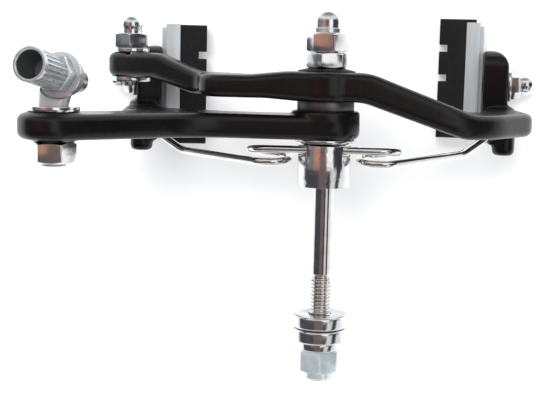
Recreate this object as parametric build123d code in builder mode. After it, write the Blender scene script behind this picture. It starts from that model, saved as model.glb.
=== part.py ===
from build123d import *
import os
from math import cos, radians, sin

# A single pivot side pull caliper brake for a small wheel, in millimetres. Z is up as it hangs on a
# fork, Y runs along the pivot bolt, and the nuts on the front of the brake look along -Y. The origin
# is on the bolt axis, at the rear face of the spring block, which seats on the fork. The cable side is
# +X, the rider's left. Distances called forward are measured from the origin towards -Y.

# Pivot bolt, from the seat forwards
bolt_diameter = 6.0
block_diameter = 14.6
block_length = 11.15
slot_depth = 2.65
slot_height = 2.2
slot_floor = 3.2
block_washer_diameter = 16.2
block_washer_thickness = 1.6
block_washer_rim = 0.8
block_washer_seat_diameter = 11.0
spacer_diameter = 15.4
spacer_thickness = 2.5
thrust_washer_diameter = 15.5
thrust_washer_thickness = 0.95
thrust_washer_rim = 0.3
nut_across_flats = 10.0
adjusting_nut_height = 4.2
nut_gap = 0.1
dome_nut_hex_height = 5.1
dome_diameter = 7.8
dome_length = 6.45
dome_wall = 2.4
collar_diameter = 9.0
collar_height = 1.2

# Mounting stud, from the seat backwards
shank_length = 24.2
neck_diameter = 4.9
neck_length = 1.0
stud_length = 53.0
stud_chamfer = 0.8
washers_from_stud_end = 17.7
fork_washer_diameter = 15.3
fork_washer_thickness = 3.7
fork_washer_round = 0.7
fork_washer_gap = 0.2
mounting_washer_diameter = 11.6
mounting_washer_thickness = 2.4
mounting_nut_height = 6.2
mounting_collar_diameter = 8.8
mounting_collar_height = 2.4
insert_thickness = 1.5
insert_wall = 1.0

# Small bolts of the shoes and the cable anchor
small_diameter = 5.0
small_washer_diameter = 10.6
small_washer_thickness = 1.2
small_nut_across_flats = 8.0
anchor_nut_across_flats = 9.0
anchor_nut_hex_height = 4.4
anchor_nut_neck = 1.7
shoe_nut_hex_height = 3.0
shoe_nut_neck = 0.5
small_nut_neck_diameter = 5.9
small_dome_diameter = 6.4
small_dome_length = 3.9
small_thread_past_hex = 1.6
thread_end_gap = 0.3

# Clearances
running_clearance = 0.05
thread_clearance = 0.03
washer_clearance = 0.15
wire_clearance = 0.1
shoe_clearance = 0.1
relief = 0.4

# Arms
arm_thickness = 6.55
rear_boss_diameter = 18.6
rear_boss_height = 1.2
front_hub_diameter = 20.0
front_hub_thickness = 7.75
hub_chamfer = 0.9
finger_thickness = 6.05
finger_tip_thickness = 7.2
bar_half_height = 8.2
edge_round = 2.0
end_share = 0.93
boss_end_share = 0.88
leg_outer = 59.4
far_leg_inset = 0.2
far_leg_forward = 1.0
leg_margin = 2.6
leg_relief = 0.8
near_crown_inset = 2.4
shoulder_height = 9.2
crown_inner_x = 44.0
crown_inner_z = -17.0
crown_outer_z = -13.0
knee_share = 0.53
knee_round_share = 0.31
arch_start = 24.0
bar_top_run = 10.0
lean_start_run = 9.0

# Cable anchor and cable stop holes
anchor_x = 57.4
anchor_above_shoe = 21.3
anchor_end_radius = 6.4
stop_x = 68.0
stop_z = 24.5
stop_end_radius = 8.7
stop_pad_height = 0.5
stop_ring_height = 0.6
elbow_x = 33.4
drop_share = 0.62
finger_corner_x = 24.5
finger_corner_share = 0.555
tip_forward = 34.6

# Brake shoes
pad_gap = 74.0
reach = 55.5
pad_tilt = 8.0
pad_length = 37.0
pad_height = 10.5
pad_depth = 8.3
pad_forward_left = -1.45
pad_forward_right = 1.45
notch_forward_left = -1.55
holder_forward_left = -0.3
notch_forward_right = 1.6
holder_forward_right = 1.45
notch_width = 2.2
notch_depth = 2.5
notch_pitch = 9.3
notch_count = 3
channel_length = 35.0
channel_height = 11.0
channel_depth = 4.2
channel_wall = 1.2
rib_thickness = 1.25
rib_height = 6.4
rib_length = 33.0
shoe_stud_head_diameter = 7.6
shoe_stud_head_height = 1.1

# Paddles at the feet of the arms, which carry the shoes
paddle_thickness = 7.7
paddle_half_width = 10.4
paddle_top = 11.5
paddle_bottom = 6.6
slot_travel = 6.5
stud_from_leg_back = 13.7
paddle_corner = 5.5
foot_inset = 0.3
flare_run = 0.8
flare_round = 1.2
paddle_plan_round = 5.0

# Return spring and the posts that it pushes on
wire_diameter = 2.1
coil_radius = 5.2
coil_x = 14.8
wire_forward = 10.0
second_pass_forward = 6.6
leg_bend_x = 40.0
leg_bend_z = -17.0
leg_bend_forward_left = 7.2
leg_bend_forward_right = 8.0
wire_end_run = 1.4
leg_bend_round = 6.0
wire_end_round = 4.0
post_x = 53.0
post_z = -25.0
post_diameter = 6.5
post_length = 6.4
post_round = 1.4
nib_reach = 1.3
nib_thickness = 1.0

# Cable anchor
anchor_head_diameter = 11.6
anchor_head_height = 1.3
cable_hole_diameter = 2.0
cable_groove_width = 2.2
cable_groove_depth = 0.6

# Cable stop and barrel adjuster
stop_washer_diameter = 12.9
stop_washer_thickness = 1.2
lug_base_size = 6.8
lug_top_size = 8.8
stop_axis_forward = 28.5
stop_axis_offset = 2.1
stop_lean = 17.0
stop_pitch = 10.5
eye_diameter = 9.6
eye_top = 0.5
eye_height = 3.2
stop_nut_height = 5.2
stop_thread_end = 0.8
barrel_thread_diameter = 6.0
barrel_diameter = 8.6
barrel_head_length = 11.0
barrel_socket_diameter = 6.9
barrel_socket_depth = 9.0
barrel_mouth_chamfer = 0.3
barrel_tail = 5.6
barrel_washer_diameter = 11.6
barrel_washer_thickness = 1.0
barrel_nut_across_flats = 8.4
barrel_nut_height = 3.3
barrel_gap = 0.2
knurl_count = 22
knurl_radius = 0.45
knurl_rim = 1.4

# Hexagons, and how far each nut happens to be turned from having a flat on top
dome_nut_turn = -12.0
adjusting_nut_turn = 14.0
anchor_nut_turn = 31.0
mounting_nut_turn = 30.0
corner_chamfer_share = 0.96
corner_chamfer_slope = 0.5

# Places along the bolt, forward of the seat
block_front = block_length
rear_arm_back = block_front + block_washer_thickness
rear_bar_front = rear_arm_back + arm_thickness
rear_boss_front = rear_bar_front + rear_boss_height
front_hub_back = rear_boss_front + spacer_thickness
anchor_z = anchor_above_shoe - reach
front_hub_front = front_hub_back + front_hub_thickness
adjusting_nut_back = front_hub_front + thrust_washer_thickness
dome_nut_back = adjusting_nut_back + adjusting_nut_height + nut_gap
bolt_front = dome_nut_back + dome_nut_hex_height + 1.5
arm_bore = bolt_diameter + 2 * running_clearance
thread_bore = bolt_diameter + 2 * thread_clearance
washer_bore = bolt_diameter + 2 * washer_clearance
small_thread_bore = small_diameter + 2 * thread_clearance
small_washer_bore = small_diameter + 2 * washer_clearance
small_thread_end = small_thread_past_hex - thread_end_gap

# Layers of a shoe, outwards from the braking face
channel_back = pad_depth + channel_depth
shoe_back = channel_back + rib_thickness
foot_face = shoe_back + shoe_clearance
paddle_outside = foot_face + paddle_thickness
pad_face_x = pad_gap / 2
tilt = radians(pad_tilt)

os.makedirs("parts", exist_ok=True)


def finish(piece, label):
    """Name a finished piece and write it."""
    piece.part.label = label
    export_step(piece.part, f"parts/{label}.step")


def facing_front(forward, x=0.0, z=0.0):
    """Plane that looks forwards, at a distance forward of the seat."""
    return Plane(origin=(x, -forward, z), x_dir=(1, 0, 0), z_dir=(0, -1, 0))


def turn(plane, corners, mode=Mode.ADD):
    """Turn a closed profile of (radius, height) corners about the normal of a plane."""
    side = Plane(origin=plane.origin, x_dir=plane.x_dir, z_dir=-plane.y_dir)
    with BuildSketch(side) as profile:
        with BuildLine():
            Polyline(*corners, close=True)
        make_face()
    revolve(profile.sketch, axis=Axis(plane.origin, plane.z_dir), mode=mode)


def ring(plane, diameter, bore, height):
    """Turn a plain washer that stands on a plane."""
    turn(plane, [(bore / 2, 0), (diameter / 2, 0), (diameter / 2, height), (bore / 2, height)])


def hexagon(plane, across_flats, height, turned_by=0.0):
    """Start a piece as a hexagon bar whose corners are turned down at both ends."""
    corner = across_flats / 3**0.5
    flat = across_flats / 2 * corner_chamfer_share
    chamfer_height = (corner - flat) * corner_chamfer_slope
    with BuildSketch(plane) as bar:
        RegularPolygon(radius=corner, side_count=6, rotation=turned_by)
    extrude(bar.sketch, amount=height)
    turned = [
        (0, 0),
        (flat, 0),
        (corner, chamfer_height),
        (corner, height - chamfer_height),
        (flat, height),
        (0, height),
    ]
    turn(plane, turned, mode=Mode.INTERSECT)


def bore_through(plane, diameter, depth):
    """Cut a round hole into the piece from a plane, along its normal."""
    with BuildSketch(plane) as hole:
        Circle(diameter / 2)
    extrude(hole.sketch, amount=depth, mode=Mode.SUBTRACT)


def domed_cap(plane, diameter, length):
    """Add a post with a rounded end that stands on a plane."""
    with BuildSketch(plane) as cap:
        Circle(diameter / 2)
    extrude(cap.sketch, amount=length)
    end = edges().filter_by(GeomType.CIRCLE).sort_by(Axis(plane.origin, plane.z_dir))[-1]
    fillet(end, radius=diameter / 2 * 0.96)


def small_washer(plane):
    """Turn a washer of a small bolt on a plane."""
    ring(plane, small_washer_diameter, small_washer_bore, small_washer_thickness)


def small_dome_nut(plane, across_flats, hex_height, neck, turned_by=0.0):
    """Make a dome nut of a small bolt on a plane, its hexagon first."""
    hexagon(plane, across_flats, hex_height, turned_by)
    ring(plane.offset(hex_height), small_nut_neck_diameter, 0.0, neck)
    domed_cap(plane.offset(hex_height + neck), small_dome_diameter, small_dome_length)
    bore_through(plane, small_thread_bore, hex_height + small_thread_past_hex)


def closed_outline(corners):
    """Draw a closed outline through (across, up, rounding) corners in the open sketch."""
    with BuildLine() as outline:
        FilletPolyline(
            *[(across, up) for across, up, rounding in corners],
            radius=[rounding for across, up, rounding in corners],
            close=True,
        )
    make_face(outline.edges())


def leg_back(side):
    """Distance forward of the rear face of a leg."""
    return rear_arm_back + (far_leg_forward if side < 0 else 0.0)


def shoe_plane(side, outward=0.0):
    """Plane across a shoe, its normal outwards, at a depth behind the braking face."""
    normal = (side * cos(tilt), 0, sin(tilt))
    stud_forward = leg_back(side) + stud_from_leg_back
    face = Plane(origin=(side * pad_face_x, -stud_forward, -reach), x_dir=(0, side, 0), z_dir=normal)
    return face.offset(outward)


def shoe_point(outward, up):
    """Place in the front view of a point of the shoe, as a distance from the middle and a height."""
    across = pad_face_x + outward * cos(tilt) - up * sin(tilt)
    height = -reach + outward * sin(tilt) + up * cos(tilt)
    return across, height


# Pivot bolt, forged in one with the block that holds the spring
with BuildPart() as pivot_bolt:
    seat_plane = facing_front(0)
    turn(
        seat_plane,
        [
            (0, -stud_length),
            (bolt_diameter / 2 - stud_chamfer, -stud_length),
            (bolt_diameter / 2, -stud_length + stud_chamfer),
            (bolt_diameter / 2, -shank_length - neck_length),
            (neck_diameter / 2, -shank_length - neck_length + 0.3),
            (neck_diameter / 2, -shank_length - 0.3),
            (bolt_diameter / 2, -shank_length),
            (bolt_diameter / 2, 0),
            (block_diameter / 2, 0),
            (block_diameter / 2, block_length),
            (bolt_diameter / 2, block_length),
            (bolt_diameter / 2, bolt_front - stud_chamfer),
            (bolt_diameter / 2 - stud_chamfer, bolt_front),
            (0, bolt_front),
        ],
    )
    with BuildSketch(facing_front(block_length - slot_depth)):
        with Locations((0, slot_floor + slot_height / 2)):
            Rectangle(2 * block_diameter, slot_height)
    extrude(amount=slot_depth, mode=Mode.SUBTRACT)
finish(pivot_bolt, "pivot_bolt")

# Washers and spacer along the pivot, the first and the last of them slightly dished
with BuildPart() as block_washer:
    turn(
        facing_front(block_front),
        [
            (washer_bore / 2, 0),
            (block_washer_seat_diameter / 2, 0),
            (block_washer_diameter / 2, block_washer_thickness - block_washer_rim),
            (block_washer_diameter / 2, block_washer_thickness),
            (washer_bore / 2, block_washer_thickness),
        ],
    )
finish(block_washer, "block_washer")

with BuildPart() as arm_spacer:
    ring(facing_front(rear_boss_front), spacer_diameter, washer_bore, spacer_thickness)
finish(arm_spacer, "arm_spacer")

with BuildPart() as thrust_washer:
    turn(
        facing_front(front_hub_front),
        [
            (washer_bore / 2, 0),
            (thrust_washer_diameter / 2, 0),
            (thrust_washer_diameter / 2, thrust_washer_rim),
            (nut_across_flats / 2, thrust_washer_thickness),
            (washer_bore / 2, thrust_washer_thickness),
        ],
    )
finish(thrust_washer, "thrust_washer")

# Nuts on the front of the pivot
with BuildPart() as adjusting_nut:
    nut_plane = facing_front(adjusting_nut_back)
    hexagon(nut_plane, nut_across_flats, adjusting_nut_height, adjusting_nut_turn)
    bore_through(nut_plane, thread_bore, adjusting_nut_height)
finish(adjusting_nut, "adjusting_nut")

with BuildPart() as dome_nut:
    nut_plane = facing_front(dome_nut_back)
    hexagon(nut_plane, nut_across_flats, dome_nut_hex_height, dome_nut_turn)
    ring(nut_plane.offset(dome_nut_hex_height), collar_diameter, 0.0, collar_height)
    domed_cap(nut_plane.offset(dome_nut_hex_height), dome_diameter, dome_length)
    bore_through(nut_plane, thread_bore, dome_nut_hex_height + dome_length - dome_wall)
finish(dome_nut, "dome_nut")

# Thick washers that clamp the fork, and the thin one under the nut
fork_washer_place = stud_length - washers_from_stud_end
for label, depth in (
    ("fork_washer_inner", fork_washer_place),
    ("fork_washer_outer", fork_washer_place + fork_washer_thickness + fork_washer_gap),
):
    with BuildPart() as fork_washer:
        back = facing_front(-depth - fork_washer_thickness)
        ring(back, fork_washer_diameter, washer_bore, fork_washer_thickness)
        outer_edges = fork_washer.edges().filter_by(GeomType.CIRCLE).sort_by(SortBy.RADIUS)[-2:]
        fillet(outer_edges, radius=fork_washer_round)
    finish(fork_washer, label)

mounting_washer_place = fork_washer_place + 2 * fork_washer_thickness + fork_washer_gap
mounting_nut_place = mounting_washer_place + mounting_washer_thickness
with BuildPart() as mounting_washer:
    washer_plane = facing_front(-mounting_nut_place)
    ring(washer_plane, mounting_washer_diameter, washer_bore, mounting_washer_thickness)
    fillet(mounting_washer.edges().filter_by(GeomType.CIRCLE).sort_by(SortBy.RADIUS)[-2:], radius=0.5)
finish(mounting_washer, "mounting_washer")

# Locking nut with a nylon ring in its collar
with BuildPart() as mounting_nut:
    nut_plane = facing_front(-mounting_nut_place).rotated((180, 0, 0))
    hexagon(nut_plane, nut_across_flats, mounting_nut_height, mounting_nut_turn)
    collar_plane = nut_plane.offset(mounting_nut_height)
    ring(collar_plane, mounting_collar_diameter, 0.0, mounting_collar_height)
    fillet(mounting_nut.edges().filter_by(GeomType.CIRCLE).sort_by(Axis.Y)[-1], radius=1.1)
    bore_through(nut_plane, thread_bore, mounting_nut_height + mounting_collar_height)
    insert_plane = nut_plane.offset(mounting_nut_height - insert_thickness / 2)
    bore_through(insert_plane, thread_bore + 2 * insert_wall, insert_thickness)
finish(mounting_nut, "mounting_nut")

with BuildPart() as nut_insert:
    insert_outside = thread_bore + 2 * insert_wall - 2 * thread_clearance
    ring(insert_plane, insert_outside, thread_bore, insert_thickness)
finish(nut_insert, "nut_insert")


def runs_round_outline(edge):
    """Tell an edge of the outline from one that runs through the thickness or up a bend."""
    direction = edge % 0.5
    straight = edge.geom_type == GeomType.LINE
    return not straight or max(abs(direction.Y), abs(direction.Z)) < 0.999


def add_paddle(side):
    """Add the foot of an arm, a tongue that reaches forwards and swells into the leg."""
    rear_edge = arm_thickness / 2 - stud_from_leg_back
    middle = (paddle_half_width + rear_edge) / 2
    length = paddle_half_width - rear_edge
    swell = leg_margin - foot_inset
    leg_front = arm_thickness - stud_from_leg_back
    with BuildPart() as foot:
        with BuildSketch(shoe_plane(side, foot_face)):
            with Locations((-side * middle, (paddle_top - paddle_bottom) / 2)):
                RectangleRounded(length, paddle_top + paddle_bottom, paddle_corner)
        extrude(amount=paddle_thickness + leg_margin)
        plan = Plane(
            origin=shoe_plane(side).origin, x_dir=shoe_plane(side).z_dir, z_dir=shoe_plane(side).y_dir
        )
        with BuildSketch(plan):
            with BuildLine() as tongue:
                FilletPolyline(
                    (foot_face, -side * paddle_half_width),
                    (paddle_outside, -side * paddle_half_width),
                    (paddle_outside, -side * (leg_front + flare_run)),
                    (paddle_outside + swell, -side * leg_front),
                    (paddle_outside + swell, -side * rear_edge),
                    (foot_face, -side * rear_edge),
                    radius=[1.0, paddle_plan_round, flare_round, flare_round / 2, 0, 0],
                    close=True,
                )
            make_face()
        extrude(amount=paddle_top + 1, mode=Mode.INTERSECT, both=True)
    add(foot.part)


def cut_slot(side):
    """Cut the slot that the stud of a shoe slides up in."""
    slot_width = small_diameter + 2 * running_clearance
    with BuildSketch(shoe_plane(side, foot_face - 1)) as slot:
        with Locations((0, slot_travel / 2)):
            SlotCenterToCenter(slot_travel, slot_width, rotation=90)
    extrude(slot.sketch, amount=paddle_thickness + 2, mode=Mode.SUBTRACT)


def leg_corners():
    """Outline corners of a leg below its shoulder, from the outside round to the inside."""
    foot_outer = shoe_point(paddle_outside + leg_margin, foot_inset - paddle_bottom)
    foot_inner = shoe_point(foot_face + leg_relief, -paddle_bottom)
    knee_outer = shoe_point(paddle_outside + leg_margin + foot_inset, paddle_top)
    leg_length = reach + crown_inner_z
    knee_inner = shoe_point(foot_face + leg_relief, knee_share * leg_length)
    return [
        (*knee_outer, 20.0),
        (*foot_outer, 2.5),
        (*foot_inner, 2.5),
        (*knee_inner, knee_round_share * leg_length),
    ]


def spring_post(side):
    """Add the post that a leg of the spring pushes on, with the nib that keeps the wire on it."""
    post_plane = facing_front(leg_back(side), side * post_x, post_z).rotated((180, 0, 0))
    with BuildSketch(post_plane) as post:
        Circle(post_diameter / 2)
    extrude(post.sketch, amount=post_length)
    fillet(edges().filter_by(GeomType.CIRCLE).sort_by(Axis.Y)[-1], radius=post_round)
    nib_back = leg_back(side) - wire_diameter - 2 * wire_clearance
    nib_plane = facing_front(nib_back - nib_thickness, side * post_x, post_z)
    with BuildSketch(nib_plane) as nib:
        with Locations((-side * (post_diameter / 4 + nib_reach / 2), 0)):
            Rectangle(post_diameter / 2 + nib_reach, post_diameter * 0.6)
    extrude(nib.sketch, amount=nib_thickness)


# Rear arm, which carries the cable stop and the shoe on the cable side
lean_x = stop_x - arch_start - lean_start_run
finger_length = (lean_x**2 + stop_z**2) ** 0.5
along_x = lean_x / finger_length
along_z = stop_z / finger_length
tip_top = (
    stop_x + stop_end_radius * (along_x - along_z),
    stop_z + stop_end_radius * (along_z + along_x),
)
tip_bottom = (
    stop_x + stop_end_radius * (along_x + along_z),
    stop_z + stop_end_radius * (along_z - along_x),
)
rear_corners = [
    (-rear_boss_diameter / 2, rear_boss_diameter / 2, rear_boss_diameter / 2 * boss_end_share),
    (arch_start + bar_top_run, bar_half_height - 0.6, 24.0),
    (*tip_top, stop_end_radius * end_share),
    (*tip_bottom, stop_end_radius * end_share),
    (51.0, 0.8, 7.0),
    (leg_outer - near_crown_inset, crown_outer_z + 2, 8.0),
    *leg_corners(),
    (crown_inner_x, crown_inner_z, 13.0),
    (arch_start, -bar_half_height, 15.0),
    (-rear_boss_diameter / 2, -rear_boss_diameter / 2, rear_boss_diameter / 2 * boss_end_share),
]
with BuildPart() as rear_arm:
    with BuildSketch(facing_front(rear_arm_back)):
        closed_outline(rear_corners)
    extrude(amount=arm_thickness)
    flat_edges = rear_arm.edges().filter_by(Plane.XZ)
    fillet(flat_edges, radius=edge_round)
    with BuildSketch(facing_front(rear_bar_front - edge_round)):
        Circle(rear_boss_diameter / 2)
    extrude(amount=rear_boss_height + edge_round)
    fillet(rear_arm.edges().filter_by(GeomType.CIRCLE).sort_by(Axis.Y)[0], radius=0.8)
    with BuildSketch(facing_front(rear_bar_front, stop_x, stop_z)):
        Circle(stop_washer_diameter / 2)
    extrude(amount=stop_pad_height)
    with BuildSketch(facing_front(rear_arm_back - stop_ring_height, stop_x, stop_z)):
        Circle(nut_across_flats / 2 + 0.4)
    extrude(amount=stop_ring_height)
    add_paddle(1)
    spring_post(1)
    cut_slot(1)
    bore_through(facing_front(0), arm_bore, rear_boss_front)
    bore_through(facing_front(0, stop_x, stop_z), arm_bore, rear_boss_front)
finish(rear_arm, "rear_arm")

# Front arm, which crosses the rear one, with the cable anchor and the shoe on the far side
drop_x = anchor_x - elbow_x + 5
drop_z = drop_share * anchor_z
drop_length = (drop_x**2 + drop_z**2) ** 0.5
down_x = drop_x / drop_length
down_z = drop_z / drop_length
anchor_tip_top = (
    anchor_x + anchor_end_radius * (down_x - down_z),
    anchor_z + anchor_end_radius * (down_z + down_x),
)
anchor_tip_bottom = (
    anchor_x + anchor_end_radius * (down_x + down_z),
    anchor_z + anchor_end_radius * (down_z - down_x),
)
far_leg = [(-across, height, rounding) for across, height, rounding in leg_corners()]
front_corners = [
    (-42.0, shoulder_height, 24.0),
    (far_leg_inset - leg_outer, crown_outer_z, 12.0),
    *far_leg,
    (-crown_inner_x, crown_inner_z, 13.0),
    (-arch_start, -bar_half_height, 15.0),
    (18.5, -bar_half_height, 7.0),
    (finger_corner_x, finger_corner_share * anchor_z, 9.0),
    (*anchor_tip_bottom, anchor_end_radius * end_share),
    (*anchor_tip_top, anchor_end_radius * end_share),
    (elbow_x + 2, -9.0, 5.0),
    (elbow_x, shoulder_height, 6.5),
]
finger_back = front_hub_back + 0.6
finger_front = finger_back + finger_thickness
tip_back = tip_forward - finger_tip_thickness
band_corners = [
    (-70.0, -rear_bar_front - far_leg_forward, 0),
    (-39.5, -rear_bar_front - far_leg_forward, 13.0),
    (-11.5, -front_hub_front, 13.0),
    (10.5, -front_hub_front, 24.0),
    (20.5, -finger_front, 24.0),
    (35.5, -finger_front, 12.0),
    (47.6, -tip_forward, 9.0),
    (72.0, -tip_forward, 0),
    (72.0, -tip_back, 0),
    (49.0, -tip_back, 6.0),
    (37.0, -finger_back, 10.0),
    (16.0, -finger_back, 24.0),
    (8.0, -front_hub_back, 24.0),
    (-9.5, -front_hub_back, 12.0),
    (-37.0, -rear_arm_back - far_leg_forward, 12.0),
    (-70.0, -rear_arm_back - far_leg_forward, 0),
]
with BuildPart() as front_arm:
    with BuildSketch(facing_front(0)):
        closed_outline(front_corners)
    extrude(amount=tip_forward + 1)
    with BuildSketch(Plane.XY.offset(-reach - 2 * pad_height)):
        closed_outline(band_corners)
    extrude(amount=reach + 4 * pad_height, mode=Mode.INTERSECT)
    fillet(front_arm.edges().filter_by(runs_round_outline), radius=edge_round)
    hub_radius = front_hub_diameter / 2
    turn(
        facing_front(front_hub_back),
        [
            (0, 0),
            (hub_radius - hub_chamfer, 0),
            (hub_radius, hub_chamfer),
            (hub_radius, front_hub_thickness - hub_chamfer),
            (hub_radius - hub_chamfer, front_hub_thickness),
            (0, front_hub_thickness),
        ],
    )
    add_paddle(-1)
    spring_post(-1)
    cut_slot(-1)
    bore_through(facing_front(0), arm_bore, tip_forward + 1)
    anchor_bore = small_diameter + 2 * running_clearance
    bore_through(facing_front(0, anchor_x, anchor_z), anchor_bore, tip_forward + 1)
    with BuildSketch(facing_front(tip_forward - cable_groove_depth, anchor_x, anchor_z)):
        Rectangle(cable_groove_width, 3 * anchor_end_radius)
    extrude(amount=2 * cable_groove_depth, mode=Mode.SUBTRACT)
finish(front_arm, "front_arm")

# Return spring, one wire bent into two coils and two legs
wire_z = slot_floor + slot_height / 2
coil_outside = coil_x + coil_radius
coil_inside = coil_x - coil_radius
coil_bottom = wire_z - 2 * coil_radius
turn_shift = (wire_forward - second_pass_forward) / 3
wire_end_x = post_x - post_diameter / 2 - wire_diameter / 2 - wire_clearance
wire_ends = []
for side, leg_bend_forward in ((1, leg_bend_forward_left), (-1, leg_bend_forward_right)):
    wire_end_forward = leg_back(side) - wire_diameter / 2 - wire_clearance
    wire_ends.append(
        [
            (side * coil_outside, -wire_forward, wire_z),
            (side * coil_outside, -wire_forward + turn_shift, coil_bottom),
            (side * coil_inside, -wire_forward + 2 * turn_shift, coil_bottom),
            (side * coil_inside, -second_pass_forward, wire_z),
            (side * (coil_x + 2.6), -second_pass_forward, wire_z),
            (side * leg_bend_x, -leg_bend_forward, leg_bend_z),
            (side * (wire_end_x - wire_end_run), -wire_end_forward, post_z + 4.5),
            (side * wire_end_x, -wire_end_forward, post_z + 1),
        ]
    )
half_radii = [coil_radius - 0.1] * 4 + [coil_radius - 0.5, leg_bend_round, wire_end_round]
with BuildPart() as return_spring:
    with BuildLine() as wire_path:
        FilletPolyline(
            *reversed(wire_ends[1]), *wire_ends[0], radius=[*reversed(half_radii), *half_radii]
        )
    with BuildSketch(wire_path.line ^ 0):
        Circle(wire_diameter / 2)
    sweep()
finish(return_spring, "return_spring")

# Cable anchor, a flat headed bolt from behind with a cross hole, a washer and a dome nut in front
anchor_plane = facing_front(tip_back, anchor_x, anchor_z)
anchor_washer_plane = facing_front(tip_forward, anchor_x, anchor_z)
anchor_shank = finger_tip_thickness + small_washer_thickness + anchor_nut_hex_height + small_thread_end
with BuildPart() as anchor_bolt:
    turn(
        anchor_plane,
        [
            (0, -anchor_head_height),
            (anchor_head_diameter / 2, -anchor_head_height),
            (anchor_head_diameter / 2, 0),
            (small_diameter / 2, 0),
            (small_diameter / 2, anchor_shank),
            (0, anchor_shank),
        ],
    )
    cable_plane = Plane(origin=(anchor_x, -tip_forward + cable_hole_diameter / 2, anchor_z - small_diameter))
    bore_through(cable_plane, cable_hole_diameter, 2 * small_diameter)
finish(anchor_bolt, "anchor_bolt")

with BuildPart() as anchor_washer:
    small_washer(anchor_washer_plane)
finish(anchor_washer, "anchor_washer")

with BuildPart() as anchor_nut:
    nut_plane = anchor_washer_plane.offset(small_washer_thickness)
    small_dome_nut(
        nut_plane, anchor_nut_across_flats, anchor_nut_hex_height, anchor_nut_neck, anchor_nut_turn
    )
finish(anchor_nut, "anchor_nut")

# Cable stop, a swivelling lug with an eye that the barrel adjuster screws through
stop_seat = rear_bar_front + stop_pad_height + stop_washer_thickness
stop_plane = facing_front(stop_seat, stop_x, stop_z)
barrel_direction = Vector(0, 0, 1).rotate(Axis.X, stop_pitch).rotate(Axis.Y, stop_lean)
barrel_plane = Plane(
    origin=(stop_x - stop_axis_offset, -stop_axis_forward, stop_z),
    x_dir=barrel_direction.cross(Vector(0, 1, 0)),
    z_dir=barrel_direction,
)
with BuildPart() as stop_body:
    with BuildSketch(stop_plane):
        RectangleRounded(lug_base_size, lug_base_size, 2.0)
    with BuildSketch(stop_plane.offset(stop_axis_forward - stop_seat)):
        with Locations((-stop_axis_offset / 2, eye_top - eye_height / 2)):
            RectangleRounded(lug_top_size, eye_height + 2, 2.0)
    loft()
    eye_face = barrel_plane.offset(eye_top)
    bore_through(eye_face, barrel_washer_diameter + 2 * relief, 2 * eye_height)
    turn(
        barrel_plane.offset(eye_top - eye_height),
        [(0, 0), (eye_diameter / 2, 0), (eye_diameter / 2, eye_height), (0, eye_height)],
    )
    stop_shank = stop_seat - rear_arm_back + stop_ring_height + stop_nut_height + stop_thread_end
    with BuildSketch(stop_plane):
        Circle(bolt_diameter / 2)
    extrude(amount=-stop_shank)
    bore_through(
        barrel_plane.offset(-2 * eye_height), barrel_thread_diameter + 2 * running_clearance, 4 * eye_height
    )
finish(stop_body, "stop_body")

with BuildPart() as stop_washer:
    washer_plane = facing_front(rear_bar_front + stop_pad_height, stop_x, stop_z)
    ring(washer_plane, stop_washer_diameter, washer_bore, stop_washer_thickness)
finish(stop_washer, "stop_washer")

with BuildPart() as stop_nut:
    nut_plane = facing_front(rear_arm_back - stop_ring_height - stop_nut_height, stop_x, stop_z)
    hexagon(nut_plane, nut_across_flats, stop_nut_height)
    bore_through(nut_plane, thread_bore, stop_nut_height)
finish(stop_nut, "stop_nut")

# Barrel adjuster with its washer and locking nut
barrel_washer_plane = barrel_plane.offset(eye_top)
barrel_nut_plane = barrel_washer_plane.offset(barrel_washer_thickness)
barrel_head_plane = barrel_nut_plane.offset(barrel_nut_height + barrel_gap)
barrel_thread_length = eye_height + barrel_tail + barrel_washer_thickness + barrel_nut_height + barrel_gap
with BuildPart() as barrel_adjuster:
    turn(
        barrel_head_plane,
        [
            (cable_hole_diameter / 2, -barrel_thread_length),
            (barrel_thread_diameter / 2, -barrel_thread_length),
            (barrel_thread_diameter / 2, 0),
            (barrel_diameter / 2, 0),
            (barrel_diameter / 2, barrel_head_length),
            (barrel_socket_diameter / 2 + barrel_mouth_chamfer, barrel_head_length),
            (barrel_socket_diameter / 2, barrel_head_length - barrel_mouth_chamfer),
            (barrel_socket_diameter / 2, barrel_head_length - barrel_socket_depth),
            (cable_hole_diameter / 2, barrel_head_length - barrel_socket_depth),
        ],
    )
    with BuildSketch(barrel_head_plane):
        with PolarLocations(barrel_diameter / 2 + knurl_radius / 3, knurl_count):
            Circle(knurl_radius)
    extrude(amount=barrel_head_length - knurl_rim, mode=Mode.SUBTRACT)
finish(barrel_adjuster, "barrel_adjuster")

with BuildPart() as barrel_washer:
    ring(barrel_washer_plane, barrel_washer_diameter, washer_bore, barrel_washer_thickness)
finish(barrel_washer, "barrel_washer")

with BuildPart() as barrel_lock_nut:
    hexagon(barrel_nut_plane, barrel_nut_across_flats, barrel_nut_height)
    bore_through(barrel_nut_plane, thread_bore, barrel_nut_height)
finish(barrel_lock_nut, "barrel_lock_nut")

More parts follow.
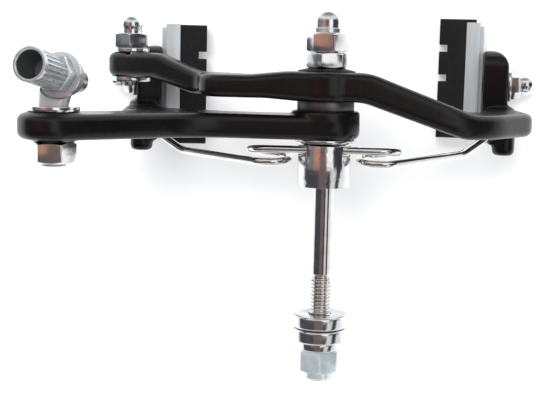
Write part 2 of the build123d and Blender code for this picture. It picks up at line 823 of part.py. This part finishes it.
# Brake shoes, one at the foot of each arm
for side, name, pad_forward, notch_forward, holder_forward in (
    (1, "left", pad_forward_left, notch_forward_left, holder_forward_left),
    (-1, "right", pad_forward_right, notch_forward_right, holder_forward_right),
):
    with BuildPart() as brake_pad:
        with BuildSketch(shoe_plane(side)):
            with Locations((-side * pad_forward, 0)):
                Rectangle(pad_length, pad_height)
        extrude(amount=pad_depth)
        upright = brake_pad.edges().filter_by(lambda edge: abs(edge.length - pad_depth) < 0.01)
        fillet(upright, radius=0.8)
        with BuildSketch(shoe_plane(side, pad_depth)):
            with Locations((-side * pad_forward, 0)):
                Rectangle(pad_length, channel_height - 2 * channel_wall)
        extrude(amount=channel_depth - channel_wall)
        with BuildSketch(shoe_plane(side)):
            with Locations((-side * notch_forward, 0)):
                with GridLocations(notch_pitch, 1, notch_count, 1):
                    Rectangle(notch_width, 2 * pad_height)
        extrude(amount=notch_depth, mode=Mode.SUBTRACT)
        with BuildSketch(shoe_plane(side, channel_back - channel_wall)):
            Circle(shoe_stud_head_diameter / 2 + 0.1)
        extrude(amount=-shoe_stud_head_height - 0.1, mode=Mode.SUBTRACT)
    finish(brake_pad, f"brake_pad_{name}")

    with BuildPart() as shoe_holder:
        with BuildSketch(shoe_plane(side, pad_depth)):
            with Locations((-side * holder_forward, 0)):
                Rectangle(channel_length, channel_height)
        extrude(amount=channel_depth)
        with BuildSketch(shoe_plane(side, pad_depth)):
            with Locations((-side * pad_forward, 0)):
                Rectangle(2 * pad_length, channel_height - 2 * channel_wall)
        extrude(amount=channel_depth - channel_wall, mode=Mode.SUBTRACT)
        with BuildSketch(shoe_plane(side, channel_back)):
            with Locations((-side * holder_forward, 0)):
                RectangleRounded(rib_length, rib_height, 1.0)
        extrude(amount=rib_thickness)
        bore_through(shoe_plane(side, pad_depth), small_diameter + 2 * thread_clearance, 3 * channel_depth)
    finish(shoe_holder, f"shoe_holder_{name}")

    with BuildPart() as shoe_stud:
        stud_end = paddle_outside + small_washer_thickness + shoe_nut_hex_height + small_thread_end
        head_outside = channel_back - channel_wall
        turn(
            shoe_plane(side),
            [
                (0, head_outside - shoe_stud_head_height),
                (shoe_stud_head_diameter / 2, head_outside - shoe_stud_head_height),
                (shoe_stud_head_diameter / 2, head_outside),
                (small_diameter / 2, head_outside),
                (small_diameter / 2, stud_end),
                (0, stud_end),
            ],
        )
    finish(shoe_stud, f"shoe_stud_{name}")

    with BuildPart() as shoe_washer:
        small_washer(shoe_plane(side, paddle_outside))
    finish(shoe_washer, f"shoe_washer_{name}")

    with BuildPart() as shoe_nut:
        nut_plane = shoe_plane(side, paddle_outside + small_washer_thickness)
        small_dome_nut(nut_plane, small_nut_across_flats, shoe_nut_hex_height, shoe_nut_neck)
    finish(shoe_nut, f"shoe_nut_{name}")
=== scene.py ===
import math

import bmesh
import bpy
from mathutils import Matrix, Vector


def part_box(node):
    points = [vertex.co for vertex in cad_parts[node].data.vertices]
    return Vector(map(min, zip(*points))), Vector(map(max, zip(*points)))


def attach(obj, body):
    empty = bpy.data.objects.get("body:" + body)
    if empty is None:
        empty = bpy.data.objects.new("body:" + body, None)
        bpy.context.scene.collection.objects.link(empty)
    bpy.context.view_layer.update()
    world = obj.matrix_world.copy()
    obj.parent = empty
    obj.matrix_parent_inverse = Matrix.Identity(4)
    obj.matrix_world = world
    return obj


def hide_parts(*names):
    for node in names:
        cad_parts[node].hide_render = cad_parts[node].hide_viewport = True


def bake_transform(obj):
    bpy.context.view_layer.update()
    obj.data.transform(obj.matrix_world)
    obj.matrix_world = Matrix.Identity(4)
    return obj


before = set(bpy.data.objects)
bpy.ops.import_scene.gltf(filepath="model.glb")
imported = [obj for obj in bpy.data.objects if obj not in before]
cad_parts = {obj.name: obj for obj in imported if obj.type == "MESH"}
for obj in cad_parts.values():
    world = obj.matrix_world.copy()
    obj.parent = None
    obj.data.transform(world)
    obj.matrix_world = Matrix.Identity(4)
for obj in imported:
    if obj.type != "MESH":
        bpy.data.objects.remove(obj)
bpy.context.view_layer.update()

# Studio. The brake lies on its shoes on white paper and is seen from above, from only 30 cm over the pivot
# bolt. The paper glows white to the eye and keeps the soft shadows. Overhead it is dark, with something
# reddish beside the camera, and that is what plated parts show in their middle.
camera_place = Vector((0.0081, -0.0350, 0.300))
tilt_back = math.radians(7.64)
roll = math.radians(1.45)
picture_width = 547.0
lens_middle = 293.1
camera_data = bpy.data.cameras.new("camera")
camera_data.sensor_width = 36.0
camera_data.lens = 73.05
camera_data.shift_x = (picture_width / 2 - lens_middle) / picture_width
camera_data.clip_start = 0.01
camera_data.clip_end = 50.0
camera = bpy.data.objects.new("camera", camera_data)
bpy.context.scene.collection.objects.link(camera)
look = Vector((0.0, math.sin(tilt_back), -math.cos(tilt_back)))
image_up = Vector((math.sin(roll), -math.cos(roll), 0.0))
image_up = (image_up - image_up.dot(look) * look).normalized()
image_right = look.cross(image_up)
camera.matrix_world = Matrix.Translation(camera_place) @ Matrix(
    (image_right, image_up, -look)
).transposed().to_4x4()
bpy.context.scene.camera = camera
bpy.context.scene.view_settings.view_transform = "Standard"


def connect(tree, *links):
    """Join outputs of nodes to inputs of nodes, each link given as ((node, socket), (node, socket))."""
    for start, end in links:
        tree.links.new(start[0].outputs[start[1]], end[0].inputs[end[1]])


def colour_ramp(tree, stops):
    """Add a colour ramp from (place, colour) stops."""
    ramp = tree.nodes.new("ShaderNodeValToRGB")
    ramp.color_ramp.elements[0].position = stops[0][0]
    ramp.color_ramp.elements[0].color = (*stops[0][1], 1)
    ramp.color_ramp.elements[1].position = stops[-1][0]
    ramp.color_ramp.elements[1].color = (*stops[-1][1], 1)
    for place, colour in stops[1:-1]:
        ramp.color_ramp.elements.new(place).color = (*colour, 1)
    return ramp


def range_map(tree, from_min=0.0, from_max=1.0, to_min=0.0, to_max=1.0):
    """Add a node that maps one range of values onto another."""
    ranged = tree.nodes.new("ShaderNodeMapRange")
    ranged.inputs["From Min"].default_value = from_min
    ranged.inputs["From Max"].default_value = from_max
    ranged.inputs["To Min"].default_value = to_min
    ranged.inputs["To Max"].default_value = to_max
    return ranged


def math_node(tree, operation, factor=None):
    """Add a math node, with a fixed second value where one is given."""
    node = tree.nodes.new("ShaderNodeMath")
    node.operation = operation
    if factor is not None:
        node.inputs[1].default_value = factor
    return node


def across_stops(bands):
    """Turn bands seen overhead, given as (from degrees, to degrees, colour), into ramp stops."""
    half_blur = 1.5
    stops = []
    for start, end, colour in bands:
        stops.append(((start + half_blur + 180) / 360, colour))
        stops.append(((end - half_blur + 180) / 360, colour))
    return stops


# What hangs overhead, in degrees to the picture's right of straight up. From the camera, the near bands are
# mirrored by the nuts and arms in front, and the far ones by the mounting stud and what is on it.
paper_white = (0.95, 0.96, 0.97)
near_bands = [
    (-181, -134, paper_white),
    (-134, -74, (0.12, 0.13, 0.14)),
    (-74, -46, (0.22, 0.23, 0.24)),
    (-46, -20, (0.52, 0.27, 0.20)),
    (-20, 9, (0.20, 0.13, 0.115)),
    (9, 38, (1.20, 1.17, 1.19)),
    (38, 87, (0.04, 0.04, 0.055)),
    (87, 181, paper_white),
]
far_bands = [
    (-181, -97, paper_white),
    (-97, -24, (0.065, 0.065, 0.075)),
    (-24, 16, (0.17, 0.130, 0.125)),
    (16, 31, (0.04, 0.04, 0.05)),
    (31, 55, (0.80, 0.80, 0.80)),
    (55, 76, (0.03, 0.035, 0.045)),
    (76, 181, paper_white),
]
near_until = 0.11
far_from = 0.15
narrow_from = 0.20
narrow_to = 0.30
narrow_gain = 1.1
end_shares = [(0.22, (1, 1, 1)), (0.34, (0, 0, 0)), (0.80, (0, 0, 0)), (0.90, (1, 1, 1))]
end_tones = [
    (0.00, (0.26, 0.26, 0.27)),
    (0.07, (0.40, 0.40, 0.41)),
    (0.15, paper_white),
    (0.90, paper_white),
    (0.97, (0.38, 0.39, 0.40)),
]


def plain_background(tree, colour):
    """Add a background of one colour."""
    background = tree.nodes.new("ShaderNodeBackground")
    background.inputs["Color"].default_value = (*colour, 1)
    return background


room = bpy.data.worlds.new("room")
room.use_nodes = True
bpy.context.scene.world = room
room_tree = room.node_tree
room_tree.nodes.clear()
room_out = room_tree.nodes.new("ShaderNodeOutputWorld")
direction = room_tree.nodes.new("ShaderNodeTexCoord")
parts = room_tree.nodes.new("ShaderNodeSeparateXYZ")
rightwards = math_node(room_tree, "MULTIPLY", -1.0)
across = math_node(room_tree, "ARCTAN2")
narrowing = range_map(room_tree, narrow_from, narrow_to, 1.0, narrow_gain)
narrowed = math_node(room_tree, "MULTIPLY")
across_share = range_map(room_tree, -math.pi, math.pi)
near_room = colour_ramp(room_tree, across_stops(near_bands))
far_room = colour_ramp(room_tree, across_stops(far_bands))
far_share = range_map(room_tree, near_until, far_from)
overhead = room_tree.nodes.new("ShaderNodeMixRGB")
end_place = range_map(room_tree, -1.0, 1.0)
end_share = colour_ramp(room_tree, end_shares)
end_tone = colour_ramp(room_tree, end_tones)
end_mix = room_tree.nodes.new("ShaderNodeMixRGB")
seen_room = room_tree.nodes.new("ShaderNodeBackground")
plain_room = plain_background(room_tree, (0.74, 0.75, 0.77))
white_room = plain_background(room_tree, (1, 1, 1))
ray = room_tree.nodes.new("ShaderNodeLightPath")
gloss_pick = room_tree.nodes.new("ShaderNodeMixShader")
camera_pick = room_tree.nodes.new("ShaderNodeMixShader")
connect(
    room_tree,
    ((direction, "Generated"), (parts, 0)),
    ((parts, "X"), (rightwards, 0)),
    ((rightwards, 0), (across, 0)),
    ((parts, "Z"), (across, 1)),
    ((parts, "Y"), (narrowing, "Value")),
    ((across, 0), (narrowed, 0)),
    ((narrowing, "Result"), (narrowed, 1)),
    ((narrowed, 0), (across_share, "Value")),
    ((across_share, "Result"), (near_room, 0)),
    ((across_share, "Result"), (far_room, 0)),
    ((parts, "Y"), (far_share, "Value")),
    ((far_share, "Result"), (overhead, "Fac")),
    ((near_room, "Color"), (overhead, "Color1")),
    ((far_room, "Color"), (overhead, "Color2")),
    ((parts, "Y"), (end_place, "Value")),
    ((end_place, "Result"), (end_share, 0)),
    ((end_place, "Result"), (end_tone, 0)),
    ((end_share, "Color"), (end_mix, "Fac")),
    ((end_tone, "Color"), (end_mix, "Color2")),
    ((overhead, "Color"), (end_mix, "Color1")),
    ((end_mix, "Color"), (seen_room, "Color")),
    ((ray, "Is Glossy Ray"), (gloss_pick, 0)),
    ((plain_room, 0), (gloss_pick, 1)),
    ((seen_room, 0), (gloss_pick, 2)),
    ((ray, "Is Camera Ray"), (camera_pick, 0)),
    ((gloss_pick, 0), (camera_pick, 1)),
    ((white_room, 0), (camera_pick, 2)),
    ((camera_pick, 0), (room_out, "Surface")),
)

# A soft square lamp stands over the front of the brake. It isn't mirrored in the plated parts.
lamp_place = Vector((0.13, -0.26, 0.75))
lamp_data = bpy.data.lights.new("front_lamp", "AREA")
lamp_data.size = 0.30
lamp_data.energy = 5.0
lamp = bpy.data.objects.new("front_lamp", lamp_data)
bpy.context.scene.collection.objects.link(lamp)
lamp.location = lamp_place
lamp.rotation_euler = lamp_place.to_track_quat("Z", "Y").to_euler()
lamp.visible_glossy = False


def new_finish(name):
    """Start a material and return it with its tree and its shader."""
    finish = bpy.data.materials.new(name)
    finish.use_nodes = True
    return finish, finish.node_tree, finish.node_tree.nodes["Principled BSDF"]


paper_reach = 3.0
paper_drop = 0.0001
paper_level = 0.30
floor_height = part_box("brake_pad_left")[0].z
paper_mesh = bpy.data.meshes.new("paper")
paper_corners = [(x * paper_reach, y * paper_reach, 0) for x, y in ((-1, -1), (1, -1), (1, 1), (-1, 1))]
paper_mesh.from_pydata(paper_corners, [], [(0, 1, 2, 3)])
paper = bpy.data.objects.new("paper", paper_mesh)
bpy.context.scene.collection.objects.link(paper)
paper.location.z = floor_height - paper_drop
white_paper, paper_tree, paper_shader = new_finish("white_paper")
paper_shader.inputs["Base Color"].default_value = (0.80, 0.80, 0.81, 1)
paper_shader.inputs["Roughness"].default_value = 0.85
paper_shader.inputs["Specular IOR Level"].default_value = 0.1
paper_glow = paper_tree.nodes.new("ShaderNodeEmission")
paper_glow.inputs["Color"].default_value = (1, 1, 1, 1)
paper_ray = paper_tree.nodes.new("ShaderNodeLightPath")
paper_seen = math_node(paper_tree, "MAXIMUM")
paper_strength = math_node(paper_tree, "MULTIPLY", paper_level)
paper_sum = paper_tree.nodes.new("ShaderNodeAddShader")
connect(
    paper_tree,
    ((paper_ray, "Is Camera Ray"), (paper_seen, 0)),
    ((paper_ray, "Is Glossy Ray"), (paper_seen, 1)),
    ((paper_seen, 0), (paper_strength, 0)),
    ((paper_strength, 0), (paper_glow, "Strength")),
    ((paper_shader, 0), (paper_sum, 0)),
    ((paper_glow, 0), (paper_sum, 1)),
    ((paper_sum, 0), (paper_tree.nodes["Material Output"], "Surface")),
)
paper_mesh.materials.append(white_paper)

# Arms. Each is forged from steel bar, flattened round its holes and bent, then dipped in black enamel
# that dries to a satin gloss. The enamel rounds every corner and fills the angle where the foot leaves the
# leg, so a close skin stands in for each solid arm.
skin_voxel = 0.00048
skin_smoothing = 7


def noise(tree, scale, detail):
    """Add a noise texture."""
    texture = tree.nodes.new("ShaderNodeTexNoise")
    texture.inputs["Scale"].default_value = scale
    texture.inputs["Detail"].default_value = detail
    return texture


def relief(tree, strength, distance):
    """Add a bump node."""
    bump = tree.nodes.new("ShaderNodeBump")
    bump.inputs["Strength"].default_value = strength
    bump.inputs["Distance"].default_value = distance
    return bump


def enamel_black():
    """Black stoving enamel: a faint orange peel, and a brown cast where it is thin."""
    enamel, tree, shader = new_finish("black_enamel")
    place = tree.nodes.new("ShaderNodeTexCoord")
    clouds = noise(tree, scale=55.0, detail=3.0)
    tone = colour_ramp(tree, [(0.3, (0.0030, 0.0024, 0.0023)), (0.75, (0.0050, 0.0040, 0.0038))])
    gloss = range_map(tree, to_min=0.23, to_max=0.31)
    peel = noise(tree, scale=520.0, detail=2.0)
    peel_bump = relief(tree, strength=0.10, distance=0.0004)
    shader.inputs["Specular IOR Level"].default_value = 0.34
    connect(
        tree,
        ((place, "Object"), (clouds, "Vector")),
        ((place, "Object"), (peel, "Vector")),
        ((clouds, "Fac"), (tone, 0)),
        ((clouds, "Fac"), (gloss, "Value")),
        ((tone, "Color"), (shader, "Base Color")),
        ((gloss, "Result"), (shader, "Roughness")),
        ((peel, "Fac"), (peel_bump, "Height")),
        ((peel_bump, "Normal"), (shader, "Normal")),
    )
    return enamel


def welded_copy(node, name):
    """Copy a solid's mesh as a new piece at the origin, its loose triangles joined up."""
    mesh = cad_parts[node].data.copy()
    mesh.name = name
    mesh.materials.clear()
    work = bmesh.new()
    work.from_mesh(mesh)
    bmesh.ops.remove_doubles(work, verts=work.verts, dist=1e-6)
    work.to_mesh(mesh)
    work.free()
    piece = bpy.data.objects.new(name, mesh)
    bpy.context.scene.collection.objects.link(piece)
    return piece


def bake_modifiers(piece):
    """Turn a piece with modifiers into a plain mesh."""
    bpy.context.view_layer.update()
    depsgraph = bpy.context.evaluated_depsgraph_get()
    finished = bpy.data.meshes.new_from_object(piece.evaluated_get(depsgraph), depsgraph=depsgraph)
    old_mesh = piece.data
    piece.modifiers.clear()
    piece.data = finished
    bpy.data.meshes.remove(old_mesh)
    finished.name = piece.name


def forged_skin(node, name):
    """Wrap a solid arm in a close skin whose corners are as soft as enamel leaves them."""
    skin = welded_copy(node, name)
    wrap = skin.modifiers.new("wrap", "REMESH")
    wrap.mode = "VOXEL"
    wrap.voxel_size = skin_voxel
    wrap.use_smooth_shade = True
    soften = skin.modifiers.new("soften", "SMOOTH")
    soften.factor = 0.5
    soften.iterations = skin_smoothing
    bake_modifiers(skin)
    return skin


black_enamel = enamel_black()
for node in ("rear_arm", "front_arm"):
    arm_skin = forged_skin(node, f"{node}_skin")
    arm_skin.data.materials.clear()
    arm_skin.data.materials.append(black_enamel)
    arm_skin.data.shade_smooth()
    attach(arm_skin, node)
    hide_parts(node)

# Pivot bolt. A steel stud with a round block that holds the spring, turned in one piece and plated
# bright. Its plain shank goes through the fork, and beyond a short neck the thread is rolled on.
thread_start = 0.0252
thread_end = 0.0530
thread_lead_in = 0.0002
thread_core = 0.00243
thread_depth = 0.00056
thread_pitch = 0.001
stud_core = 0.0023
block_rear = 0.0003
turned_edge = 0.00018


def bright_plate(name, colour, roughness, mottle, metal=1.0, stretch=1.0):
    """Plated steel: nearly a mirror, with a mottled surface, or streaked where it was drawn."""
    plate, tree, shader = new_finish(name)
    shader.inputs["Metallic"].default_value = metal
    place = tree.nodes.new("ShaderNodeTexCoord")
    drawn = tree.nodes.new("ShaderNodeMapping")
    drawn.inputs["Scale"].default_value = (1.0, 1.0 / stretch, 1.0)
    patches = noise(tree, scale=420.0, detail=4.0)
    dulled = [0.88 * part for part in colour]
    tone = colour_ramp(tree, [(0.34, dulled), (0.62, colour)])
    gloss = range_map(tree, to_min=roughness * 0.7, to_max=roughness * 1.4)
    grain = noise(tree, scale=900.0, detail=3.0)
    grain_bump = relief(tree, strength=mottle, distance=0.0002)
    connect(
        tree,
        ((place, "Object"), (drawn, "Vector")),
        ((drawn, "Vector"), (patches, "Vector")),
        ((drawn, "Vector"), (grain, "Vector")),
        ((patches, "Fac"), (tone, 0)),
        ((patches, "Fac"), (gloss, "Value")),
        ((tone, "Color"), (shader, "Base Color")),
        ((gloss, "Result"), (shader, "Roughness")),
        ((grain, "Fac"), (grain_bump, "Height")),
        ((grain_bump, "Normal"), (shader, "Normal")),
    )
    return plate


def shade_rounded(piece, crease=32):
    """Shade smoothly except over true edges."""
    piece.data.shade_smooth()
    work = bmesh.new()
    work.from_mesh(piece.data)
    for line in work.edges:
        if len(line.link_faces) == 2 and line.calc_face_angle(0.0) > math.radians(crease):
            line.smooth = False
    work.to_mesh(piece.data)
    work.free()


def crisp_copy(node, edge):
    """Copy a solid and break its sharp edges, as machining and plating leave them."""
    flat_within = math.radians(0.6)
    edge_above = math.radians(28)
    piece = welded_copy(node, f"{node}_skin")
    work = bmesh.new()
    work.from_mesh(piece.data)
    bmesh.ops.dissolve_limit(
        work, angle_limit=flat_within, verts=work.verts, edges=work.edges, delimit=set()
    )
    work.to_mesh(piece.data)
    work.free()
    broken = piece.modifiers.new("broken_edges", "BEVEL")
    broken.width = edge
    broken.segments = 2
    broken.limit_method = "ANGLE"
    broken.angle_limit = edge_above
    bake_modifiers(piece)
    shade_rounded(piece)
    return piece


def dress(piece, material, body, node):
    """Give a finished piece its material and its place in the brake."""
    piece.data.materials.clear()
    piece.data.materials.append(material)
    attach(piece, body)
    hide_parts(node)


def plated_piece(node, edge, material, body):
    """Put a crisp copy with its finish in a solid's place."""
    piece = crisp_copy(node, edge)
    dress(piece, material, body, node)
    return piece


def thread_tree():
    """Make the tree that rolls a screw thread: a helical ridge on a round core, along +Z."""
    facets_round = 48
    flank_gain = 1.5
    root_width = -0.25
    tree = bpy.data.node_groups.new("screw_thread", "GeometryNodeTree")
    for name, kind in (
        ("Core Radius", "NodeSocketFloat"),
        ("Depth", "NodeSocketFloat"),
        ("Pitch", "NodeSocketFloat"),
        ("Length", "NodeSocketFloat"),
        ("Rows", "NodeSocketInt"),
        ("Material", "NodeSocketMaterial"),
    ):
        tree.interface.new_socket(name, in_out="INPUT", socket_type=kind)
    tree.interface.new_socket("Geometry", in_out="OUTPUT", socket_type="NodeSocketGeometry")
    nodes = tree.nodes
    given = nodes.new("NodeGroupInput")
    result = nodes.new("NodeGroupOutput")
    sheet = nodes.new("GeometryNodeMeshGrid")
    sheet.inputs["Size X"].default_value = 1.0
    sheet.inputs["Size Y"].default_value = 1.0
    sheet.inputs["Vertices X"].default_value = facets_round + 1
    where = nodes.new("GeometryNodeInputPosition")
    parts = nodes.new("ShaderNodeSeparateXYZ")

    def calc(kind, first, second=None, third=None):
        node = nodes.new("ShaderNodeMath")
        node.operation = kind
        for index, value in enumerate((first, second, third)):
            if value is None:
                continue
            if isinstance(value, tuple):
                connect(tree, (value, (node, index)))
            else:
                node.inputs[index].default_value = value
        return (node, 0)

    round_share = calc("ADD", (parts, "X"), 0.5)
    along_share = calc("ADD", (parts, "Y"), 0.5)
    angle = calc("MULTIPLY", round_share, 2 * math.pi)
    along = calc("MULTIPLY", along_share, (given, "Length"))
    turns = calc("DIVIDE", along, (given, "Pitch"))
    phase = calc("FRACT", calc("SUBTRACT", turns, round_share))
    slope = calc("ABSOLUTE", calc("SUBTRACT", calc("MULTIPLY", phase, 2.0), 1.0))
    flank = calc("MULTIPLY_ADD", slope, flank_gain, root_width)
    crest = calc("MINIMUM", calc("MAXIMUM", flank, 0.0), 1.0)
    end_gap = calc("MINIMUM", along, calc("SUBTRACT", (given, "Length"), along))
    fade = calc("MINIMUM", calc("DIVIDE", end_gap, (given, "Pitch")), 1.0)
    ridge = calc("MULTIPLY", calc("MULTIPLY", crest, fade), (given, "Depth"))
    radius = calc("ADD", ridge, (given, "Core Radius"))
    sideways = calc("MULTIPLY", radius, calc("COSINE", angle))
    upright = calc("MULTIPLY", radius, calc("SINE", angle))
    point = nodes.new("ShaderNodeCombineXYZ")
    move = nodes.new("GeometryNodeSetPosition")
    weld = nodes.new("GeometryNodeMergeByDistance")
    weld.inputs["Distance"].default_value = 1e-6
    real = nodes.new("GeometryNodeRealizeInstances")
    paint = nodes.new("GeometryNodeSetMaterial")
    connect(
        tree,
        ((given, "Rows"), (sheet, "Vertices Y")),
        ((where, 0), (parts, 0)),
        (sideways, (point, 0)),
        (upright, (point, 1)),
        (along, (point, 2)),
        ((sheet, "Mesh"), (move, "Geometry")),
        ((point, 0), (move, "Position")),
        ((move, 0), (weld, 0)),
        ((weld, 0), (real, 0)),
        ((real, 0), (paint, "Geometry")),
        ((given, "Material"), (paint, "Material")),
        ((paint, 0), (result, 0)),
    )
    return tree


def rolled_thread(name, start, along, length, material):
    """Grow a thread from a start point along a direction and return it as a plain mesh piece."""
    rows_per_turn = 10
    screw_thread = thread_tree()
    piece = bpy.data.objects.new(name, bpy.data.meshes.new(name))
    bpy.context.scene.collection.objects.link(piece)
    grower = piece.modifiers.new("thread", "NODES")
    grower.node_group = screw_thread
    sockets = {item.name: item.identifier for item in screw_thread.interface.items_tree}
    grower[sockets["Core Radius"]] = thread_core
    grower[sockets["Depth"]] = thread_depth
    grower[sockets["Pitch"]] = thread_pitch
    grower[sockets["Length"]] = length
    grower[sockets["Rows"]] = int(length / thread_pitch * rows_per_turn) + 1
    grower[sockets["Material"]] = material
    bake_modifiers(piece)
    turn = Vector((0, 0, 1)).rotation_difference(Vector(along))
    piece.data.transform(Matrix.Translation(Vector(start)) @ turn.to_matrix().to_4x4())
    work = bmesh.new()
    work.from_mesh(piece.data)
    bmesh.ops.recalc_face_normals(work, faces=work.faces)
    work.to_mesh(piece.data)
    work.free()
    piece.data.shade_smooth()
    return piece


shank_steel = bright_plate("bright_shank_plate", (0.80, 0.79, 0.77), 0.10, 0.03)
block_steel = bright_plate("bright_block_plate", (0.80, 0.80, 0.79), 0.13, 0.30)
pivot_skin = crisp_copy("pivot_bolt", turned_edge)
for vertex in pivot_skin.data.vertices:
    spread = Vector((vertex.co.x, 0, vertex.co.z))
    if vertex.co.y > thread_start - thread_lead_in and spread.length > stud_core:
        spread = spread.normalized() * stud_core
        vertex.co.x, vertex.co.z = spread.x, spread.z
dress(pivot_skin, shank_steel, "pivot", "pivot_bolt")
pivot_skin.data.materials.append(block_steel)
for face in pivot_skin.data.polygons:
    if face.center.y < block_rear:
        face.material_index = 1
stud_thread = rolled_thread(
    "stud_thread", (0, thread_start, 0), (0, 1, 0), thread_end - thread_start, shank_steel
)
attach(stud_thread, "pivot")

# Washers and nuts of the pivot. The washers are stamped and zinc plated, the nuts cut from bar and
# polished before plating, so their faces are flat mirrors and their corners catch the light. The locking
# nut at the stud's end has a paler blue plating, and the spacer between the arms is bare dark steel.
stamped_edge = 0.00015
nut_edge = 0.00022
bright_zinc = bright_plate("bright_zinc", (0.80, 0.81, 0.82), 0.15, 0.06)
dull_spacer = bright_plate("dark_spacer_steel", (0.20, 0.20, 0.205), 0.38, 0.10)
pale_zinc = bright_plate("pale_blue_zinc", (0.78, 0.86, 0.90), 0.24, 0.05, metal=0.6)
for node in ("block_washer", "fork_washer_inner", "fork_washer_outer", "mounting_washer"):
    plated_piece(node, stamped_edge, bright_zinc, "pivot")
for node in ("adjusting_nut", "dome_nut"):
    plated_piece(node, nut_edge, bright_zinc, "pivot")
plated_piece("mounting_nut", nut_edge, pale_zinc, "pivot")
plated_piece("arm_spacer", stamped_edge, dull_spacer, "pivot")

# Plastic rings of the pivot. A thin black washer lies between the arms and the block, and a white nylon
# ring pressed into the locking nut grips the stud's thread.
moulded_edge = 0.00012


def moulded_plastic(name, colour, roughness, shine=0.35):
    """Plain moulded plastic or rubber with a fine skin grain."""
    plastic, tree, shader = new_finish(name)
    place = tree.nodes.new("ShaderNodeTexCoord")
    skin = noise(tree, scale=1500.0, detail=4.0)
    darker = [0.8 * part for part in colour]
    lighter = [1.2 * part for part in colour]
    tone = colour_ramp(tree, [(0.3, darker), (0.7, lighter)])
    skin_bump = relief(tree, strength=0.25, distance=0.0001)
    shader.inputs["Roughness"].default_value = roughness
    shader.inputs["Specular IOR Level"].default_value = shine
    connect(
        tree,
        ((place, "Object"), (skin, "Vector")),
        ((skin, "Fac"), (tone, 0)),
        ((tone, "Color"), (shader, "Base Color")),
        ((skin, "Fac"), (skin_bump, "Height")),
        ((skin_bump, "Normal"), (shader, "Normal")),
    )
    return plastic


black_plastic = moulded_plastic("black_plastic_washer", (0.005, 0.005, 0.005), 0.5, shine=0.12)
nylon = moulded_plastic("nylon_ring", (0.62, 0.63, 0.62), 0.45)
plated_piece("thrust_washer", moulded_edge, black_plastic, "pivot")
plated_piece("nut_insert", moulded_edge, nylon, "pivot")

# Return spring. One length of polished spring wire, wound into a flat coil each side of the block and
# bent into two legs that push on the arms. It is cut at its middle into two halves, each named after its
# arm.
wire_crease = 40
spring_wire = bright_plate("polished_wire", (0.82, 0.81, 0.79), 0.10, 0.03)
for side, arm in ((1, "rear_arm"), (-1, "front_arm")):
    half = welded_copy("return_spring", f"spring_half_{arm}")
    work = bmesh.new()
    work.from_mesh(half.data)
    bmesh.ops.bisect_plane(
        work,
        geom=work.verts[:] + work.edges[:] + work.faces[:],
        plane_co=(0, 0, 0),
        plane_no=(-side, 0, 0),
        clear_outer=True,
    )
    open_rim = [line for line in work.edges if len(line.link_faces) == 1]
    bmesh.ops.holes_fill(work, edges=open_rim)
    work.to_mesh(half.data)
    work.free()
    shade_rounded(half, wire_crease)
    half.data.materials.append(spring_wire)
    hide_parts("return_spring")
    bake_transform(half)

# Cable anchor. A flat headed bolt through the tip of the front arm, with a hole across it for the cable,
# a washer that pinches the cable against the arm, and a dome nut.
for node in ("anchor_bolt", "anchor_washer", "anchor_nut"):
    plated_piece(node, stamped_edge, bright_zinc, "cable_anchor")

# Cable stop. A cast lug, dull under its plating, swivels on the tip of the rear arm on a bright washer,
# with its nut below the arm. The nut and washer that lock the adjuster in the eye are satin zinc.
cast_edge = 0.00025
dull_casting = bright_plate("dull_cast_plate", (0.50, 0.50, 0.49), 0.42, 0.25, metal=0.6)
satin_zinc = bright_plate("satin_zinc", (0.66, 0.70, 0.72), 0.27, 0.10, metal=0.85)
plated_piece("stop_body", cast_edge, dull_casting, "cable_stop")
for node in ("stop_washer", "stop_nut"):
    plated_piece(node, turned_edge, bright_zinc, "cable_stop")
for node in ("barrel_washer", "barrel_lock_nut"):
    plated_piece(node, turned_edge, satin_zinc, "cable_stop")

# Barrel adjuster. Turned from bar and plated, with a bell mouth for the housing and a coarse straight
# knurl behind it. The end of its screw comes out behind the eye of the lug.
knurl_edge = 0.00012
# The faces inside the bell mouth, from just within its rim down to its floor, get a dark grey plate:
# painted shade for the deep bore, where little light gets in.
socket_mouth = Vector((0.07050, -0.03142, 0.03954))
socket_axis = Vector((0.28748, -0.18224, 0.94029))
socket_radius = 0.00348
socket_rim = 0.0002
socket_floor = 0.0095
socket_shade_paint = bright_plate("painted_socket_shade", (0.10, 0.115, 0.12), 0.45, 0.10, metal=0.5)
barrel_skin = plated_piece("barrel_adjuster", knurl_edge, satin_zinc, "barrel")
barrel_skin.data.materials.append(socket_shade_paint)
for face in barrel_skin.data.polygons:
    inward = face.center - socket_mouth
    depth = -inward.dot(socket_axis)
    off_axis = (inward + depth * socket_axis).length
    if socket_rim < depth < socket_floor and off_axis < socket_radius:
        face.material_index = 1

# Brake shoes. A block of black rubber with cross notches is pressed into a folded steel channel, and a
# bolt from inside the channel clamps it to the arm with a washer and a dome nut.
rubber_edge = 0.0005
folded_edge = 0.0002
holder_zinc = bright_plate("blue_grey_zinc", (0.57, 0.60, 0.61), 0.33, 0.12, metal=0.45, stretch=6.0)
brake_rubber = moulded_plastic("brake_rubber", (0.008, 0.008, 0.009), 0.58)
for side in ("left", "right"):
    plated_piece(f"brake_pad_{side}", rubber_edge, brake_rubber, f"{side}_shoe")
    plated_piece(f"shoe_holder_{side}", folded_edge, holder_zinc, f"{side}_shoe")
    for node in (f"shoe_stud_{side}", f"shoe_washer_{side}", f"shoe_nut_{side}"):
        plated_piece(node, stamped_edge, bright_zinc, f"{side}_clamp")
